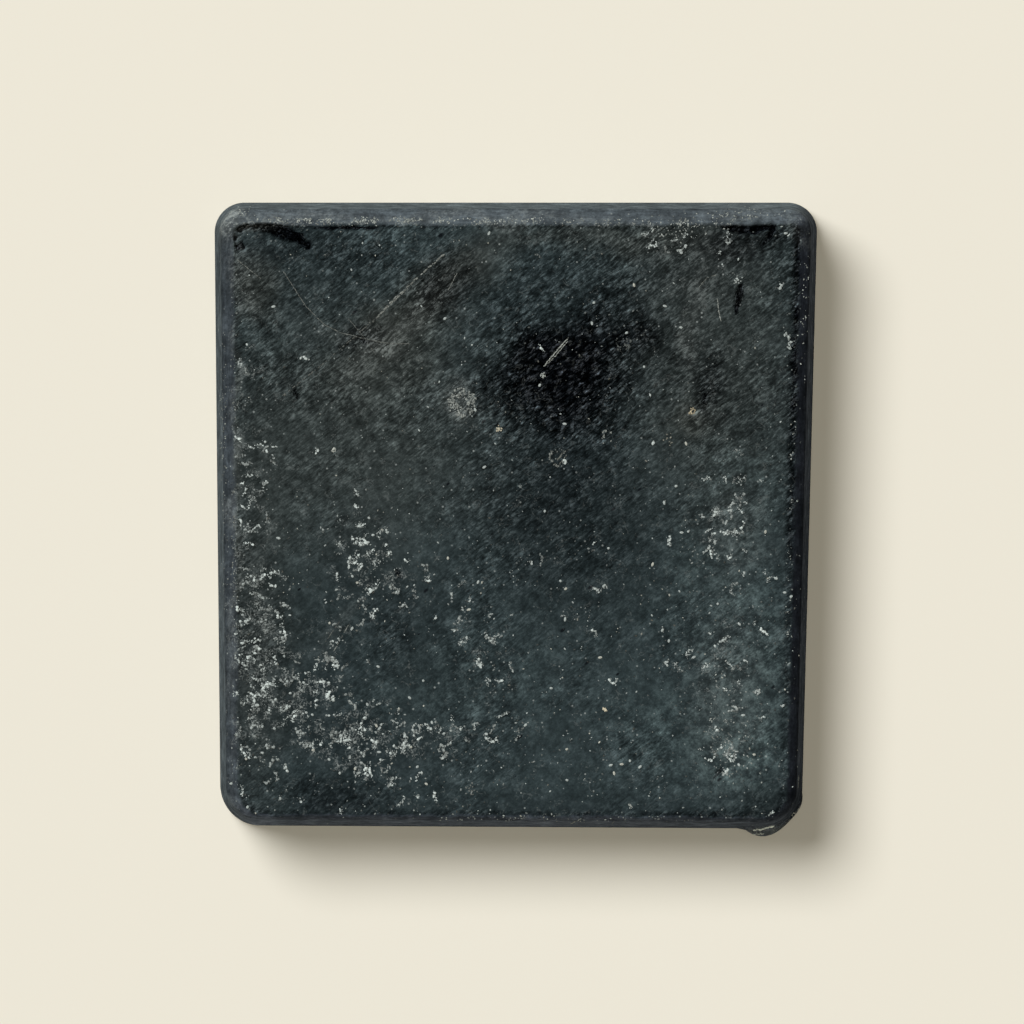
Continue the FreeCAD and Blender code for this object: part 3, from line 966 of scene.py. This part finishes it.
for start, end, scatter, count, tone in DUST_LINES:
    for _ in range(count):
        place = Vector(start).lerp(Vector(end), dice.random())
        if plan_noise(place, 41, 1.1) > -0.1:
            add_grain(place.x + dice.gauss(0, scatter), place.y + dice.gauss(0, scatter),
                      dice.choice(EDGE_SIZES), dice.uniform(1, 1.9), dice.uniform(0, math.tau),
                      tone * dice.uniform(0.5, 1.4), 0.1)

finish_dust("edge_dust")

# ---------------------------------------------------------------------------------------------
# Dust lines and heaps: hairline scratches filled with pale dust, made as rows of long grains that
# follow each scratch, and a few small heaps. One mesh of the same grains.
# ---------------------------------------------------------------------------------------------
# Hairlines: (points along each, half width, tone, share that is filled).
HAIRLINES = [
    ([(-18.34, 19.54), (-16.59, 16.83), (-15.15, 15.39), (-13.88, 14.75), (-10.93, 14.04), (-9.73, 13.88),
      (-8.37, 13.88)], 0.034, 0.42, 0.85),
    ([(-13.24, 15.87), (-12.1, 14.5), (-11.08, 13.0)], 0.03, 0.4, 0.7),
    ([(-5.66, 20.97), (-7.81, 19.06), (-9.57, 17.46), (-11.0, 15.95)], 0.07, 0.55, 0.7),
    ([(-8.6, 18.2), (-9.9, 17.0), (-11.4, 15.5)], 0.05, 0.5, 0.6),
    ([(-11.0, 15.95), (-15.23, 12.28), (-18.58, 9.65)], 0.045, 0.3, 0.4),
    ([(-22.09, 20.57), (-20.1, 18.98)], 0.04, 0.45, 0.7),
    ([(-4.66, 19.45), (-5.37, 18.1)], 0.04, 0.5, 0.8),
    ([(2.23, 12.12), (3.1, 13.2), (4.07, 14.27)], 0.05, 0.95, 0.9),
    ([(2.5, 12.25), (3.3, 13.15), (4.1, 14.1)], 0.04, 0.85, 0.8),
    ([(2.8, 12.9), (3.5, 13.7), (4.15, 14.4)], 0.035, 0.7, 0.8),
    ([(3.0, 4.3), (3.7, 5.3)], 0.05, 0.5, 0.8),
    ([(3.3, 4.2), (4.1, 5.2)], 0.05, 0.4, 0.7),
    ([(-14.4, -10.4), (-13.2, -8.3)], 0.04, 0.5, 0.7),
    ([(-15.0, -9.6), (-13.9, -8.0)], 0.035, 0.35, 0.6),
    ([(15.9, 17.4), (16.0, 16.5), (16.2, 15.6)], 0.045, 0.75, 0.8),
    ([(14.5, 18.4), (15.1, 19.1), (15.8, 19.3)], 0.04, 0.5, 0.7),
    ([(4.4, -24.0), (5.2, -23.6)], 0.05, 0.8, 0.8),
    # These two lines by the flash have much higher tones than the rest: painted light, to keep them pale in
    # the shade at the near right corner.
    ([(17.6, -24.75), (18.7, -24.95), (19.7, -24.85)], 0.06, 1.7, 0.85),
    ([(18.9, -24.6), (19.7, -24.5), (20.4, -24.25)], 0.08, 2.3, 0.9),
    ([(21.3, -24.15), (22.1, -23.4), (22.6, -22.5)], 0.04, 1.2, 0.7),
    ([(22.3, -21.2), (22.35, -20.2)], 0.05, 0.7, 0.8),
]
for points, half_width, tone, filled in HAIRLINES:
    for start, end in zip(points, points[1:]):
        run = Vector(end) - Vector(start)
        turn = math.atan2(run.y, run.x)
        steps = max(2, int(run.length / (half_width * 1.8)))
        for step in range(steps):
            if dice.random() < filled:
                place = Vector(start) + run * (step / steps)
                stray = half_width * 0.35
                add_grain(place.x + dice.gauss(0, stray), place.y + dice.gauss(0, stray),
                          half_width * dice.uniform(0.7, 1.2), dice.uniform(1.4, 2.6), turn,
                          tone * dice.uniform(0.55, 1.3), 0.15)

# Heaps: (middle, radius, number of grains, tone, warmth).
HEAPS = [
    ((-4.25, 9.25), 1.15, 330, 0.8, 0.1),
    ((8.4, 14.0), 0.7, 60, 0.3, 0.0),
    ((7.1, 6.5), 0.55, 44, 0.8, 0.1),
    ((-1.35, 7.15), 0.28, 20, 1.1, 0.7),
    ((12.1, 6.3), 0.5, 16, 0.6, 0.4),
    ((2.15, 11.4), 0.22, 14, 1.1, 0.1),
    ((3.3, 4.9), 0.75, 60, 0.6, 0.1),
    ((13.88, 8.53), 0.28, 22, 1.0, 1.0),
    ((-2.07, 21.93), 0.2, 12, 1.0, 0.4),
    ((-14.43, 5.5), 0.18, 14, 1.3, 0.2),
    ((7.02, -14.99), 0.2, 14, 1.4, 0.8),
    ((8.93, -22.73), 0.25, 14, 1.1, 0.1),
    ((-3.5, -21.3), 0.5, 22, 0.45, 0.1),
    ((-15.15, -24.24), 0.3, 14, 0.8, 0.1),
]
for middle, radius, count, tone, warmth in HEAPS:
    for _ in range(count):
        reach = radius * math.sqrt(dice.uniform(0.08 * radius, 1))
        angle = dice.uniform(0, math.tau)
        across, along = reach * math.cos(angle), reach * math.sin(angle)
        if plan_noise(Vector((middle[0] + across, along)), 31, 2.6) < -0.12:
            continue
        add_grain(middle[0] + across, middle[1] + along,
                  dice.uniform(0.03, 0.075), dice.uniform(1, 1.6), dice.uniform(0, math.tau),
                  tone * dice.uniform(0.6, 1.2), warmth)

finish_dust("dust_lines")
batch.free()
gathered.free()
grid.free()

# ---------------------------------------------------------------------------------------------
# Stage: a flat cream floor, a large soft lamp high on the far left, a small lamp straight above,
# and a weak even light from the room.
# ---------------------------------------------------------------------------------------------
FLOOR_COLOUR = (0.847, 0.799, 0.672, 1)
FLOOR_HALF = 4.0
floor_plan = bmesh.new()
bmesh.ops.create_grid(floor_plan, x_segments=2, y_segments=2, size=FLOOR_HALF)
floor_mesh = bpy.data.meshes.new("floor")
floor_plan.to_mesh(floor_mesh)
floor_plan.free()
floor = bpy.data.objects.new("floor", floor_mesh)
bpy.context.scene.collection.objects.link(floor)
floor_look = bpy.data.materials.new("cream_floor")
floor_look.use_nodes = True
floor_shader = floor_look.node_tree.nodes["Principled BSDF"]
floor_shader.inputs["Base Color"].default_value = FLOOR_COLOUR
floor_shader.inputs["Roughness"].default_value = 1.0
floor_shader.inputs["Specular IOR Level"].default_value = 0.0
floor_mesh.materials.append(floor_look)

LAMP_DIRECTION = Vector((-0.47, 0.455, 1.0))
LAMP_DISTANCE = 8.0
LAMP_SIZE = 4.2
LAMP_COLOUR = (0.98, 1.0, 1.05)
LAMP_SHARE = 0.752          # how bright it alone makes a white floor, as for the next two
lamp_data = bpy.data.lights.new("soft_lamp", "AREA")
lamp_data.shape = "DISK"
lamp_data.size = LAMP_SIZE
fall = LAMP_DIRECTION.normalized().z
lamp_data.energy = LAMP_SHARE * math.pi ** 2 * LAMP_DISTANCE ** 2 / fall
lamp_data.color = LAMP_COLOUR
lamp = bpy.data.objects.new("soft_lamp", lamp_data)
lamp.location = LAMP_DIRECTION.normalized() * LAMP_DISTANCE
lamp.rotation_euler = LAMP_DIRECTION.to_track_quat("Z", "Y").to_euler()
lamp.visible_camera = False
bpy.context.scene.collection.objects.link(lamp)

OVERHEAD_DISTANCE = 2.6
OVERHEAD_SIZE = 0.15
OVERHEAD_COLOUR = (1.04, 1.0, 0.9)
OVERHEAD_SHARE = 0.246
overhead_data = bpy.data.lights.new("overhead_lamp", "AREA")
overhead_data.shape = "DISK"
overhead_data.size = OVERHEAD_SIZE
overhead_data.energy = OVERHEAD_SHARE * math.pi ** 2 * OVERHEAD_DISTANCE ** 2
overhead_data.color = OVERHEAD_COLOUR
overhead = bpy.data.objects.new("overhead_lamp", overhead_data)
overhead.location = (0, 0, OVERHEAD_DISTANCE)
overhead.visible_camera = False
bpy.context.scene.collection.objects.link(overhead)

ROOM_COLOUR = (1, 1, 1, 1)
ROOM_SHARE = 0.05
room = bpy.data.worlds.new("room")
room.use_nodes = True
room.node_tree.nodes["Background"].inputs["Color"].default_value = ROOM_COLOUR
room.node_tree.nodes["Background"].inputs["Strength"].default_value = ROOM_SHARE
bpy.context.scene.world = room

bpy.context.scene.view_settings.view_transform = "Standard"
